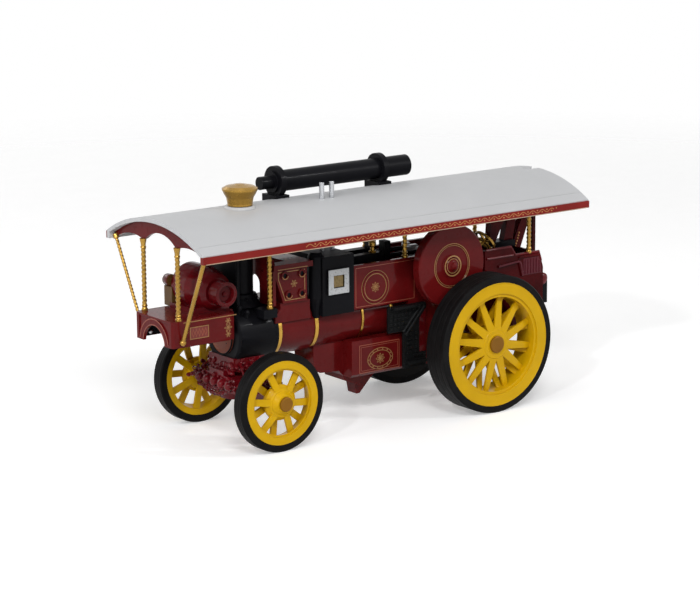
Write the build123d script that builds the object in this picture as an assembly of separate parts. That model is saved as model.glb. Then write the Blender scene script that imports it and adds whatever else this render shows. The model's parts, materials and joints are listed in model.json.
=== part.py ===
from build123d import *
import os
from collections import namedtuple
from math import cos, radians, sin, sqrt

# Scale model of a fairground steam traction engine, in millimetres.
# +X is forward, +Y is the engine's left side, +Z is up.
# The origin is on the ground, midway along the canopy and on the centreline.

# Canopy
canopy_length = 94.0
canopy_width = 34.0
canopy_crown = 45.0
canopy_rise = 4.5
skirt_depth = 1.6
roof_sheet = 0.8
fascia_thick = 0.3
fascia_setback = 0.5
rear_slot_width = 2.2
rear_slot_depth = 3.0
roof_clearance = 0.25

# Boiler, smokebox and chimney
boiler_height = 20.6
boiler_radius = 5.5
boiler_front = 22.6
smokebox_radius = 5.9
smokebox_front = 31.8
band_depth = 0.2
door_radius = 3.8
door_thick = 0.7
chimney_x = 27.3
chimney_radius = 2.3
cap_radius = 3.45
cap_lift = 0.5
cap_height = 4.1
collar_radius = 3.1

# Firebox, plates and tender
firebox_front = -8.0
firebox_rear = -18.0
firebox_bottom = 9.5
plate_thick = 0.8
plate_inner = 6.4
motion_front = 5.6
motion_depth = 8.8
hornplate_rear = -26.0
tender_rear = -41.5
tender_half = 9.2
tender_bottom = 13.0
tender_height = 16.3
tender_wall = 0.8
footplate_rise = 3.5
bunker_front = -35.5
bunker_floor_rise = 9.8

# Crankshaft and flywheel
crank_x = -15.7
crank_lift = 9.3
crank_radius = 0.7
flywheel_radius = 8.3
flywheel_inner = 9.4
flywheel_width = 2.0

# Running gear
axle_play = 0.08
rear_axle_x = -22.27
rear_axle_radius = 0.8
rear_wheel_radius = 14.0
rear_wheel_tread = 5.6
front_axle_x = 28.55
front_axle_radius = 0.6
front_wheel_radius = 9.6
front_wheel_tread = 2.6
tyre_depth = 1.5

# Dynamo and its platform
platform_front = 47.4
platform_corner = 1.5
platform_half = 6.6
platform_bottom = 21.2
platform_top = 26.3
platform_wall = 0.6
arch_radius = 3.7
dynamo_x = 35.7
dynamo_radius = 4.5
pulley_radius = 2.4

# Belly tank
tank_front = 5.4
tank_rear = -7.7
tank_half = 6.2
tank_top = 16.4
tank_bottom = 9.0
keel_depth = 4.8

# Rear drawbar and crane
drawbar_end = -44.6
drawbar_hole_x = -43.6
drawbar_height = 14.2
drawbar_thick = 1.2
drawbar_half = 1.5
drawbar_hole_radius = 0.6
mast_x = -46.2
crane_end = -47.4


def block(x, y, z):
    """A box between pairs of limits."""
    centre = Pos((x[0] + x[1]) / 2, (y[0] + y[1]) / 2, (z[0] + z[1]) / 2)
    return centre * Box(abs(x[1] - x[0]), abs(y[1] - y[0]), abs(z[1] - z[0]))


def bar_x(radius, x, y, z):
    """A round bar along X between two limits."""
    return Pos((x[0] + x[1]) / 2, y, z) * Rot(0, 90, 0) * Cylinder(radius, abs(x[1] - x[0]))


def bar_y(radius, x, y, z):
    """A round bar along Y between two limits."""
    return Pos(x, (y[0] + y[1]) / 2, z) * Rot(90, 0, 0) * Cylinder(radius, abs(y[1] - y[0]))


def bar_z(radius, x, y, z):
    """A round bar along Z between two limits."""
    return Pos(x, y, (z[0] + z[1]) / 2) * Cylinder(radius, abs(z[1] - z[0]))


def rod(start, end, radius):
    """A round bar between two points."""
    start, end = Vector(start), Vector(end)
    plane = Plane(origin=start, z_dir=end - start)
    return plane * Pos(0, 0, (end - start).length / 2) * Cylinder(radius, (end - start).length)


def side_plate(outline, y):
    """A flat plate whose outline is given as (x, z) points, between two y limits."""
    face = make_face(Polyline(*[(px, 0, pz) for px, pz in outline], close=True))
    return Pos(0, y[0], 0) * extrude(face, amount=y[1] - y[0], dir=(0, 1, 0))


def turned_x(profile, y, z):
    """A body turned about a line along X, from (x, radius) points."""
    face = make_face(Polyline(*[(px, r, 0) for px, r in profile], close=True))
    return Pos(0, y, z) * revolve(face, Axis.X)


def turned_y(profile, x, z):
    """A body turned about a line along Y, from (y, radius) points."""
    face = make_face(Polyline(*[(r, py, 0) for py, r in profile], close=True))
    return Pos(x, 0, z) * revolve(face, Axis.Y)


def turned_z(profile, x, y):
    """A body turned about a line along Z, from (z, radius) points."""
    face = make_face(Polyline(*[(r, 0, pz) for pz, r in profile], close=True))
    return Pos(x, y, 0) * revolve(face, Axis.Z)


def other_side(shape):
    return mirror(shape, about=Plane.XZ)


def both_sides(shape):
    return Compound(children=[shape, other_side(shape)])


parts = {}

# Roof: one arched sheet, turned down at the sides.
roof_front, roof_rear = canopy_length / 2, -canopy_length / 2
roof_half = canopy_width / 2 - fascia_thick
canopy_side = canopy_crown - canopy_rise
canopy_skirt = canopy_side - skirt_depth
roof_radius = (roof_half**2 + canopy_rise**2) / (2 * canopy_rise)
above_roof = canopy_crown + 1


def roof_height(y):
    """The height of the roof's outer surface at a distance from its middle."""
    return canopy_crown - roof_radius + sqrt(roof_radius**2 - y**2)


def roof_room(depth):
    """The room below the roof's outer surface lowered by a depth, down to the skirts' edge."""
    half = roof_half - depth
    edge = roof_height(half) - depth
    arch = ThreePointArc((0, -half, edge), (0, 0, canopy_crown - depth), (0, half, edge))
    sides = Polyline((0, half, edge), (0, half, canopy_skirt), (0, -half, canopy_skirt), (0, -half, edge))
    room = extrude(make_face([arch, sides]), amount=canopy_length, dir=(1, 0, 0))
    return Pos(roof_rear, 0, 0) * room


under_roof = roof_room(roof_sheet)
roof = roof_room(0) - under_roof
chimney_hole = chimney_radius + roof_clearance
roof -= bar_z(chimney_hole, chimney_x, 0, (canopy_skirt, above_roof))
slot = (-rear_slot_width / 2, rear_slot_width / 2)
roof -= block((roof_rear, roof_rear + rear_slot_depth), slot, (canopy_skirt, above_roof))

# Silver exhausts of the lighting engine, up through the roof.
exhaust_radius = 0.5
exhaust_y = 2.0
exhaust_x = (9.4, 7.0)
exhaust_rise = 3.1
casing_top = boiler_height + 13.9
exhaust_limits = (casing_top, canopy_crown + exhaust_rise)
exhausts = [bar_z(exhaust_radius, x, exhaust_y, exhaust_limits) for x in exhaust_x]
for exhaust in exhausts:
    roof -= exhaust
parts["exhaust_pipes"] = Compound(children=exhausts)
parts["canopy_roof"] = roof

fascia = block(
    (roof_rear + fascia_setback, roof_front - fascia_setback),
    (roof_half, roof_half + fascia_thick),
    (canopy_skirt, canopy_side - 0.2),
)
parts["canopy_fascia_left"] = fascia
parts["canopy_fascia_right"] = other_side(fascia)

# Heights and places that the upper works share.
crank_height = boiler_height + crank_lift
motion_top = crank_height + 2.0
motion_bottom = motion_top - motion_depth
tender_top = tender_bottom + tender_height
smokebox_seat = boiler_height + smokebox_radius - 0.6

# Posts in pairs, one row a pair, with an arched crossbeam over each pair.
post_radius = 0.42
post_flare = 1.65
post_top = canopy_side - 0.2
Post = namedtuple("Post", "name x y foot")
posts = [
    Post("platform", smokebox_front + 13.8, platform_half - 0.7, platform_top),
    Post("smokebox", chimney_x - 2.3, smokebox_radius + 0.4, smokebox_seat),
    Post("hornplate", firebox_front + 0.4, plate_inner + 0.1, motion_top),
    Post("tender", tender_rear + 3.5, tender_half - 0.5, tender_top),
]
beam_thick = 0.7
beam_rise = 1.8
skirt_inside = roof_half - roof_sheet


def post(row):
    """A column with a turned foot and a flared cap."""
    foot, r, wide = row.foot, post_radius, post_radius * post_flare
    profile = [
        (foot, 0), (foot, wide), (foot + 0.5, wide), (foot + 1.0, r),
        (post_top - 1.2, r), (post_top - 0.2, wide), (post_top, wide), (post_top, 0),
    ]
    return turned_z(profile, row.x, row.y)


def crossbeam(row):
    """A thin beam under the roof, arched between two posts and curved up beyond them."""
    half = post_radius * post_flare
    inside, outside = row.y - half, row.y + half
    reach, spring = (outside + skirt_inside) / 2, post_top + 0.3
    lower = [
        ThreePointArc((0, -inside, post_top), (0, 0, post_top + beam_rise), (0, inside, post_top)),
        Line((0, inside, post_top), (0, outside, post_top)),
        ThreePointArc((0, outside, post_top), (0, reach, spring), (0, skirt_inside, canopy_skirt)),
        Polyline(
            (0, skirt_inside, canopy_skirt), (0, skirt_inside, above_roof),
            (0, -skirt_inside, above_roof), (0, -skirt_inside, canopy_skirt),
        ),
        ThreePointArc((0, -skirt_inside, canopy_skirt), (0, -reach, spring), (0, -outside, post_top)),
        Line((0, -outside, post_top), (0, -inside, post_top)),
    ]
    plate = extrude(make_face(lower), amount=beam_thick, dir=(1, 0, 0))
    beam = (Pos(row.x - beam_thick, 0, 0) * plate) & under_roof
    return beam - bar_z(chimney_hole, chimney_x, 0, (canopy_skirt, above_roof))


for row in posts:
    parts["posts_" + row.name] = both_sides(post(row))
    parts["brackets_" + row.name] = crossbeam(row)

# Stays from the front corners of the roof down to the platform's sides.
stay_radius = 0.4
stay_foot = (smokebox_front + 13.6, platform_half + stay_radius, platform_bottom + 1.1)
stay_head = (roof_front - 1.2, skirt_inside - stay_radius, canopy_skirt + 0.6)
stay = rod(stay_foot, stay_head, stay_radius)
stay += Pos(*stay_foot) * Sphere(stay_radius * 1.6)
stay -= block((smokebox_front, platform_front), (0, platform_half), (platform_bottom - 1, platform_top))
parts["canopy_stay_left"] = stay - (roof + parts["brackets_platform"])
parts["canopy_stay_right"] = other_side(parts["canopy_stay_left"])

# Boiler shell, smokebox, door and bands.
boiler = bar_x(boiler_radius, (firebox_front, boiler_front), 0, boiler_height)
smokebox = turned_x(
    [
        (boiler_front, 0), (boiler_front, smokebox_radius), (smokebox_front - 0.4, smokebox_radius),
        (smokebox_front, smokebox_radius - 0.4), (smokebox_front, 0),
    ],
    0,
    boiler_height,
)
door_edge = smokebox_front + door_thick
parts["smokebox_door"] = turned_x(
    [
        (smokebox_front, 0), (smokebox_front, door_radius), (smokebox_front + 0.35, door_radius),
        (door_edge, door_radius * 0.72), (door_edge + 0.2, 0),
    ],
    0,
    boiler_height,
)
Band = namedtuple("Band", "x width top")
bands = [
    Band(boiler_front - 0.45, 0.9, 24.2),
    Band(13.4, 0.8, 24.6),
    Band(2.2, 0.5, motion_bottom),
    Band(-4.9, 0.5, motion_bottom),
]


def band_limits(row):
    return (row.x - row.width / 2, row.x + row.width / 2)


def band_disc(row):
    return bar_x(boiler_radius + band_depth, band_limits(row), 0, boiler_height)


def band_ring(row):
    """A band around the boiler, open below for the tank and above for what stands there."""
    across = (-smokebox_radius, smokebox_radius)
    ring = band_disc(row) - boiler
    ring -= block(band_limits(row), across, (row.top, boiler_height + smokebox_radius))
    return ring - block(band_limits(row), across, (boiler_height - smokebox_radius, tank_top))


# Belly tank under the boiler, with a narrower ash box before it and a keel.
ash_front = tank_front + 7.2
ash_half = 3.2
tank = block((tank_rear, tank_front), (-tank_half, tank_half), (tank_bottom, tank_top))
tank = chamfer(tank.edges().filter_by(Axis.X).group_by(Axis.Z)[0], 0.6)
ash_outline = [
    (tank_front, tank_top), (ash_front, tank_top), (ash_front, tank_bottom + 2.2),
    (ash_front - 1.6, tank_bottom + 1.4), (tank_front + 1.0, tank_bottom + 1.1), (tank_front, tank_bottom),
    (tank_front - 0.2, tank_bottom - 1.0), (tank_front - 2.4, tank_bottom - 1.9),
    (tank_front - 4.2, tank_bottom - 2.6), (tank_front - 5.0, tank_bottom),
    (tank_front - 5.0, tank_bottom + 1.0),
]
ash_box = side_plate(ash_outline, (-ash_half, ash_half))
keel_outline = [
    (tank_front - 3.6, tank_bottom), (tank_front - 4.6, tank_bottom - keel_depth),
    (tank_front - 5.4, tank_bottom - keel_depth), (tank_front - 10.2, tank_bottom),
]
keel = side_plate(keel_outline, (-1.4, 1.4))
parts["belly_tank"] = tank + ash_box + keel - boiler
parts["boiler_bands"] = Compound(children=[s for row in bands for s in band_ring(row).solids()])

# Chimney on its flared saddle, with a collar on the roof and a flared cap.
cap_base = canopy_crown + cap_lift
saddle_height = boiler_height + 5.4
chimney = turned_z(
    [
        (saddle_height, 0), (saddle_height, 3.9), (saddle_height + 1.0, 3.2), (saddle_height + 1.6, 2.85),
        (saddle_height + 2.3, 2.85), (saddle_height + 2.5, chimney_radius), (cap_base, chimney_radius),
        (cap_base, 0),
    ],
    chimney_x,
    0,
)
chimney -= smokebox
parts["chimney"] = chimney
cap_rim = cap_base + cap_height * 0.72
parts["chimney_cap"] = turned_z(
    [
        (cap_base, 0), (cap_base, chimney_radius + 0.15), (cap_base + 0.4, chimney_radius + 0.15),
        (cap_base + 1.5, chimney_radius + 0.35), (cap_rim - 0.7, cap_radius - 0.35), (cap_rim, cap_radius),
        (cap_rim + 0.35, cap_radius), (cap_rim + 0.75, cap_radius - 0.7), (cap_base + cap_height - 0.1, 1.3),
        (cap_base + cap_height - 0.1, 1.0), (cap_base + cap_height, 0.8), (cap_base + cap_height, 0),
    ],
    chimney_x,
    0,
)
collar = turned_z(
    [
        (canopy_crown - 0.6, chimney_radius), (canopy_crown - 0.6, collar_radius + 0.1),
        (canopy_crown, collar_radius), (canopy_crown + 0.4, collar_radius - 0.3),
        (canopy_crown + 0.4, chimney_radius),
    ],
    chimney_x,
    0,
)
parts["roof_collar"] = collar - roof_room(0)

# Cylinder block: a saddle, a narrow middle, the left-hand steam chest and an arched front plate.
block_top = boiler_height + 13.6
saddle_top = boiler_height + 5.8
plate_front = chimney_x - 3.05
plate_rear = plate_front - 0.7
plate_arch_height = boiler_height + 9.2
plate_arch_radius = 1.8
chest_face = 6.3
saddle = side_plate(
    [
        (15.0, 22.6), (23.4, 22.6), (23.4, 24.0), (22.2, 25.2), (22.2, saddle_top), (15.2, saddle_top),
        (15.2, 24.4),
    ],
    (-5.2, 5.8),
)
chest = side_plate(
    [
        (16.2, saddle_top), (21.8, saddle_top), (plate_rear, block_top - 2.8), (plate_rear, block_top),
        (16.2, block_top),
    ],
    (4.2, chest_face),
)
cornice = block((15.1, plate_front), (4.0, chest_face + 0.5), (block_top - 1.1, block_top))
plate_limits = (plate_rear, plate_front)
arch_across = (-plate_arch_radius, plate_arch_radius)
front_plate = block(plate_limits, (-chest_face, chest_face), (saddle_top - 0.2, block_top))
front_plate -= block(plate_limits, arch_across, (saddle_top - 0.2, plate_arch_height))
front_plate -= bar_x(plate_arch_radius, plate_limits, 0, plate_arch_height)
front_plate -= bar_x(0.35, plate_limits, 2.8, block_top - 1.5)
cylinder_block = saddle + chest + cornice + front_plate
cylinder_block += block((15.1, 19.8), (-4.5, 4.2), (saddle_top, block_top))
for x, z in ((21.5, 31.9), (17.5, 31.9), (20.6, 28.0), (17.5, 28.0)):
    boss = (chest_face, chest_face + 0.3)
    cylinder_block += bar_y(0.85, x, boss, z) - bar_y(0.5, x, boss, z)
banded_boiler = boiler
for row in bands:
    banded_boiler += band_disc(row)
cylinder_block -= banded_boiler + smokebox
cylinder_block -= chimney
parts["cylinder_block"] = cylinder_block
cover = turned_z(
    [
        (22.4, 0), (22.4, 0.7), (24.4, 1.1), (26.4, 1.6), (block_top + 0.4, 1.6), (block_top + 1.2, 1.1),
        (block_top + 1.2, 0),
    ],
    13.4,
    5.4,
)
cover -= banded_boiler
parts["cylinder_cover"] = cover

# Black casing behind the cylinder, with a raised square on its face.
casing_half = plate_inner + plate_thick + 0.1
pad_depth = 0.5
casing = block((motion_front, 13.2), (-plate_inner + 0.1, casing_half), (boiler_height + 2.2, casing_top))
casing -= banded_boiler
casing += block((7.2, 12.1), (casing_half, casing_half + pad_depth), (27.0, 31.9))
casing -= block((8.3, 10.9), (casing_half + 0.2, casing_half + pad_depth), (28.2, 30.7))
casing -= cover
parts["valve_casing"] = casing

# Plates that carry the crankshaft and the rear axle.
outline = [
    (motion_front, motion_top), (motion_front, motion_bottom), (firebox_front, motion_bottom),
    (firebox_front, firebox_bottom), (hornplate_rear, firebox_bottom), (hornplate_rear, motion_top - 0.6),
    (hornplate_rear + 1.0, motion_top),
]
plate_outer = plate_inner + plate_thick
across_plate = (plate_inner, plate_outer)
hornplate = side_plate(outline, across_plate)
rear_bore = rear_axle_radius + axle_play
hornplate -= bar_y(rear_bore, rear_axle_x, across_plate, rear_wheel_radius)
hornplate -= bar_y(crank_radius, crank_x, across_plate, crank_height)
hornplate -= casing
ring_height = motion_bottom + 3.9
ring_across = (plate_outer, plate_outer + 0.15)
hornplate += bar_y(3.2, 0.3, ring_across, ring_height) - bar_y(2.8, 0.3, ring_across, ring_height)
parts["hornplate_left"] = hornplate
parts["hornplate_right"] = other_side(hornplate)

firebox_limits = (firebox_rear, firebox_front)
between_plates = (-plate_inner, plate_inner)
firebox = block(firebox_limits, between_plates, (firebox_bottom, boiler_height))
firebox += bar_x(plate_inner, firebox_limits, 0, boiler_height)
parts["firebox"] = firebox
parts["boiler"] = boiler
parts["smokebox"] = smokebox

# Crankshaft with its webs, and the flywheel on its left end.
crank_end = flywheel_inner + flywheel_width + 0.6
crankshaft = bar_y(crank_radius, crank_x, (-plate_outer - 1.4, crank_end), crank_height)
web_outline = [
    (crank_x - 1.1, crank_height - 1.0), (crank_x + 1.1, crank_height - 1.0),
    (crank_x + 0.8, crank_height + 2.4), (crank_x - 0.8, crank_height + 2.4),
]
for y in (-3.6, -1.2, 1.2, 3.6):
    crankshaft += side_plate(web_outline, (y - 0.4, y + 0.4))
for y in (-2.4, 2.4):
    crankshaft += bar_y(0.5, crank_x, (y - 1.0, y + 1.0), crank_height + 1.7)
parts["crankshaft"] = crankshaft
face = flywheel_inner + flywheel_width
rim_inside = flywheel_radius - 0.7
parts["flywheel"] = turned_y(
    [
        (flywheel_inner, 1.6), (flywheel_inner, crank_radius), (face + 0.3, crank_radius), (face + 0.3, 1.3),
        (face, 1.6), (face - 0.2, 2.0), (face - 0.2, 4.2), (face, 4.4), (face, flywheel_radius - 0.2),
        (face - 0.2, flywheel_radius), (flywheel_inner, flywheel_radius), (flywheel_inner, rim_inside),
        (flywheel_inner + 0.8, rim_inside - 0.2), (flywheel_inner + 0.8, 1.8),
    ],
    crank_x,
    crank_height,
)

# Slide bars, rods and crossheads between the plates.
deck_height = boiler_height + plate_inner
deck_top = deck_height + 0.2
motion_work = block((firebox_front - 1.5, motion_front), between_plates, (deck_height - 0.6, deck_top))
motion_work -= boiler + firebox
for y in (-2.4, 2.4):
    motion_work += block((-6.0, motion_front), (y - 0.8, y + 0.8), (deck_top, motion_top + 0.9))
    motion_work += block((-6.4, -5.0), (y - 1.0, y + 1.0), (deck_top, motion_top + 3.0))
    motion_work += rod((-6.0, y, motion_top - 0.2), (crank_x + 1.9, y, crank_height + 1.7), 0.45)
motion_work -= parts["posts_hornplate"]
parts["motion_work"] = motion_work

# Tender: an open box with a footplate and a coal bunker; its front sides stand higher.
wall_inside = tender_half - tender_wall
cab_height = tender_top + 1.9
tender_outline = [
    (hornplate_rear, tender_bottom), (hornplate_rear, cab_height), (bunker_front + 2.4, cab_height),
    (bunker_front + 1.2, tender_top), (tender_rear + 0.9, tender_top), (tender_rear + 0.4, tender_top - 1.9),
    (tender_rear, tender_top - 3.2), (tender_rear, tender_bottom),
]
tender = side_plate(tender_outline, (-tender_half, tender_half))
footplate_height = tender_bottom + footplate_rise
bunker_floor = tender_bottom + bunker_floor_rise
tender -= block(
    (bunker_front + tender_wall, hornplate_rear), (-wall_inside, wall_inside), (footplate_height, cab_height)
)
tender -= block((tender_rear + 1.4, bunker_front), (-wall_inside, wall_inside), (bunker_floor, tender_top))
across_bead = (tender_half, tender_half + 0.3)
bead_outline = [
    (hornplate_rear - 3.4, tender_top - 2.0), (bunker_front + 0.8, tender_top - 1.55),
    (bunker_front - 0.1, tender_top - 4.5), (bunker_front - 0.6, tender_top - 4.4),
    (bunker_front + 0.4, tender_top - 1.0), (hornplate_rear - 3.4, tender_top - 1.5),
]
bead = side_plate(bead_outline, across_bead)
edge = block((tender_rear + 1.2, bunker_front + 0.6), across_bead, (tender_top - 0.7, tender_top - 0.2))
for moulding in (bead, edge, other_side(bead), other_side(edge)):
    tender += moulding
parts["tender"] = tender

# Drawbar at the back, with a hole for a pin.
drawbar_limits = (drawbar_height, drawbar_height + drawbar_thick)
drawbar = block((drawbar_end, tender_rear), (-drawbar_half, drawbar_half), drawbar_limits)
parts["drawbar"] = drawbar - bar_z(drawbar_hole_radius, drawbar_hole_x, 0, drawbar_limits)

# Crane over the tender: a mast behind it in the roof's slot, a winding drum, and plates on a low base.
mast_half = rear_slot_width / 2 - 0.3
mast_front = mast_x + 0.4
mast_foot = tender_bottom + 6.0
mast_top = canopy_crown - 2.0
drum_height = tender_bottom + 9.0
drum_half = 3.8
drum_radius = mast_x - crane_end
crane = block((mast_x - 0.4, mast_front), (-mast_half, mast_half), (mast_foot, mast_top))
for foot in (mast_foot, mast_foot + 5.4):
    crane += block((mast_front, tender_rear), (-mast_half, mast_half), (foot, foot + 1.0))
strut_outline = [
    (tender_rear, tender_top - 4.2), (tender_rear, tender_top - 3.2), (tender_rear + 0.4, tender_top - 1.9),
    (tender_rear + 0.9, tender_top), (tender_rear + 0.5, tender_top + 1.8), (mast_front, mast_top - 2.0),
    (mast_front, mast_top - 6.0), (tender_rear - 1.1, tender_top - 0.5),
]
crane += side_plate(strut_outline, (-mast_half, mast_half))
base_top = tender_top + 1.4
plate_top = tender_top + 6.2
for outline in (
    [(-35.8, base_top), (-34.2, base_top), (-34.5, plate_top), (-38.3, plate_top)],
    [(-40.4, base_top), (-38.0, base_top), (-39.0, plate_top), (-41.3, plate_top)],
):
    crane += side_plate(outline, (-mast_half, mast_half))
base = block((tender_rear + 1.1, bunker_front + 1.4), (-1.6, 1.6), (tender_top, base_top))
parts["crane"] = crane - base
drum = bar_y(drum_radius, mast_x, (mast_half, drum_half), drum_height)
hook = block((crane_end, mast_x), (drum_half - 1.0, drum_half), (drum_height - 5.2, drum_height - 0.5))
parts["crane_drum"] = Compound(children=[drum + hook, other_side(drum), base])

# Chimney extension tube lying on two ring brackets on the roof.
tube_y = -6.2
tube_radius = 2.1
tube_front = 15.6
tube_rear = -17.6
tube_height = roof_height(tube_y) + 1.3 + tube_radius
ring_thick = 1.2
tube = bar_x(tube_radius, (tube_rear, tube_front), tube_y, tube_height)
tube += bar_x(tube_radius * 0.62, (tube_front, tube_front + 2.9), tube_y, tube_height)
parts["extension_tube"] = tube
rings = []
foot_top = roof_height(tube_y) + 0.9
for x in (tube_front - 1.0, tube_rear + 7.0):
    limits = (x - ring_thick / 2, x + ring_thick / 2)
    ring = bar_x(tube_radius + 1.0, limits, tube_y, tube_height)
    ring += block((x - 1.6, x + 1.6), (tube_y - 2.4, tube_y + 2.4), (canopy_side, foot_top))
    ring -= bar_x(tube_radius, (x - 2, x + 2), tube_y, tube_height)
    rings.append(ring - roof_room(0))
parts["extension_brackets"] = Compound(children=rings)

# Platform before the smokebox: a hollow apron with rounded corners and an arched front.
arch_height = platform_bottom - 0.3


def apron(inset, bottom, top):
    """The platform's outline in plan, drawn in by an inset."""
    front, half = platform_front - inset, platform_half - inset
    rear = smokebox_front + 1.0 + inset
    near = [
        (rear, half - 1.2), (rear + 0.5, half - 0.4), (rear + 1.5, half), (front - platform_corner, half),
        (front - 0.5, half - 0.2), (front, half - 0.6),
    ]
    plan = near + [(x, -y) for x, y in reversed(near)]
    face = make_face(Polyline(*[(x, y, bottom) for x, y in plan], close=True))
    return extrude(face, amount=top - bottom, dir=(0, 0, 1))


platform = apron(0, platform_bottom, platform_top)
platform -= apron(platform_wall, platform_bottom, platform_top - platform_wall)
neck = block((smokebox_front, smokebox_front + 2.0), (-3.6, 3.6), (platform_top - 1.4, platform_top))
platform += neck - smokebox - parts["smokebox_door"]
border_depth = 0.25
arch_room = (platform_front - 2.0, platform_front)
platform -= bar_x(arch_radius, arch_room, 0, arch_height)
recess_limits = (platform_bottom + 0.5, platform_top - 0.4)
recess = block((platform_front - border_depth, platform_front), (-5.2, 5.2), recess_limits)
platform -= recess - bar_x(arch_radius + 1.4, arch_room, 0, arch_height)
parts["dynamo_platform"] = platform

# Dynamo with its pulley on the left and the brush gear on the right.
dynamo_height = platform_top + 4.0
foot_top = platform_top + 1.0
dynamo = turned_y(
    [
        (-5.6, 0), (-5.6, dynamo_radius - 0.4), (-5.0, dynamo_radius - 0.1), (-0.5, dynamo_radius),
        (1.5, dynamo_radius - 0.4), (3.6, dynamo_radius - 1.0), (4.2, dynamo_radius - 1.9), (4.2, 0),
    ],
    dynamo_x,
    dynamo_height,
)
dynamo += block((smokebox_front + 0.4, dynamo_x + 4.6), (-5.4, 3.0), (platform_top, foot_top))
dynamo -= block((dynamo_x - 5, dynamo_x + 5), (-6, 6), (platform_top - 1, platform_top))
parts["dynamo"] = dynamo
parts["dynamo_pulley"] = turned_y(
    [
        (4.2, 0), (4.2, 1.5), (4.8, 1.5), (4.8, pulley_radius), (7.4, pulley_radius), (7.4, 1.7), (6.6, 1.5),
        (6.6, 0),
    ],
    dynamo_x,
    dynamo_height,
)
brush_gear = block((dynamo_x + 1.8, dynamo_x + 4.6), (-7.2, -4.5), (foot_top - 0.8, dynamo_height))
brush_gear += bar_y(1.1, dynamo_x + 3.9, (-7.2, -5.6), dynamo_height + 1.1)
brush_gear -= dynamo + block((dynamo_x, dynamo_x + 5), (-8, 0), (platform_top - 1, platform_top))
parts["dynamo_brush_gear"] = brush_gear

# Black brackets on the smokebox shoulders, under the second pair of posts.
shoulder = block((23.9, 27.0), (3.4, 7.2), (24.2, smokebox_seat)) - smokebox
parts["post_seats"] = both_sides(shoulder)

# Front undercarriage: a saddle and turntable under the smokebox, the axle beam, leaf springs and a
# cross member with a row of chain bosses.
front_height = front_wheel_radius
beam_top = front_height + 1.5
saddle_block = block((25.0, 32.2), (-4.2, 4.2), (front_height + 4.4, boiler_height - 4.0))
turntable = turned_z(
    [
        (front_height - 1.5, 0), (front_height - 1.5, 3.6), (beam_top, 4.4), (beam_top + 1.4, 4.4),
        (beam_top + 1.6, 3.2), (front_height + 4.4, 3.2), (front_height + 4.4, 0),
    ],
    front_axle_x,
    0,
)
fore_carriage = saddle_block + turntable
fore_carriage += block((27.0, 30.1), (-11.9, 11.9), (front_height - 1.5, beam_top))
spring_half = 1.3
leaf_thick = 0.6
spring_y = 7.4
for leaf, half_length in enumerate((4.6, 3.6, 2.6)):
    limits = (front_axle_x - half_length, front_axle_x + half_length)
    heights = (beam_top + leaf * leaf_thick, beam_top + (leaf + 1) * leaf_thick)
    for y in (-spring_y, spring_y):
        fore_carriage += block(limits, (y - spring_half, y + spring_half), heights)
member = (31.0, 33.4)
fore_carriage += block(member, (-6.4, 6.4), (front_height + 0.6, beam_top + 2.0))
fore_carriage += block((28.0, member[1]), (-2.4, 2.4), (front_height + 0.6, front_height + 4.4))
for y in (-5.0, -2.5, 0, 2.5, 5.0):
    fore_carriage += bar_x(0.95, (member[1], member[1] + 0.9), y, beam_top + 0.6)
fore_carriage -= smokebox
fore_carriage -= bar_y(front_axle_radius + axle_play, front_axle_x, (-12, 12), front_height)
parts["fore_carriage"] = fore_carriage

# Steps on both sides, ahead of the rear wheels.
step_outer = plate_outer + 0.6
step = side_plate(
    [(-2.5, 22.5), (-2.5, 17.2), (-6.3, 17.2), (-6.3, 9.5), (-11.9, 9.5), (-11.9, 22.5)],
    (plate_outer, step_outer),
)
step += block((-9.5, -3.0), (step_outer, step_outer + 1.2), (22.0, 22.5))
step += block((-11.5, -6.8), (step_outer, step_outer + 1.4), (10.6, 11.1))
step += rod((-10.4, step_outer, 21.7), (-6.1, step_outer, 17.0), 0.3)
parts["step_left"] = step
parts["step_right"] = other_side(step)

# Steering wheel on its column, which leans down to the left plate.
steer_centre = Vector(-28.6, 6.0, 32.6)
steer_down = Vector(0.79, 0, -0.61)
steer_radius = 2.5
column_end = steer_centre + steer_down * 4.6
steer_plane = Plane(origin=steer_centre, z_dir=-steer_down)
steering = rod(tuple(steer_centre), tuple(column_end), 0.3)
steering += block((-25.6, -24.4), (5.5, plate_inner), (29.2, 30.4))
steering += steer_plane * (Cylinder(steer_radius, 0.45) - Cylinder(steer_radius - 0.45, 0.45))
for size in ((steer_radius * 2 - 0.6, 0.45, 0.35), (0.45, steer_radius * 2 - 0.6, 0.35)):
    steering += steer_plane * Box(*size)
parts["steering_wheel"] = steering

# Wheels: each has two rows of flat spokes that lean together from the hub's ends to the rim.
Row = namedtuple("Row", "hub_y rim_y phase")
Wheel = namedtuple(
    "Wheel",
    "name x radius tread face axle hub boss cap_face step hole hole_back spokes hub_width rim_width rows",
)
wheels = [
    Wheel(
        "rear", rear_axle_x, rear_wheel_radius, rear_wheel_tread, 18.0, rear_axle_radius, 3.2, 1.7,
        17.9, 10.3, 9.65, 9.7, 12, 1.9, 1.1, (Row(17.1, 16.1, 10.0), Row(12.4, 15.8, 17.0)),
    ),
    Wheel(
        "front", front_axle_x, front_wheel_radius, front_wheel_tread, 15.3, front_axle_radius, 2.9, 1.4,
        16.7, 6.7, 6.3, 6.9, 6, 1.3, 1.4, (Row(15.1, 14.0, 7.7), Row(12.9, 13.3, 38.5)),
    ),
]
spoke_thick = 0.5


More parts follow.
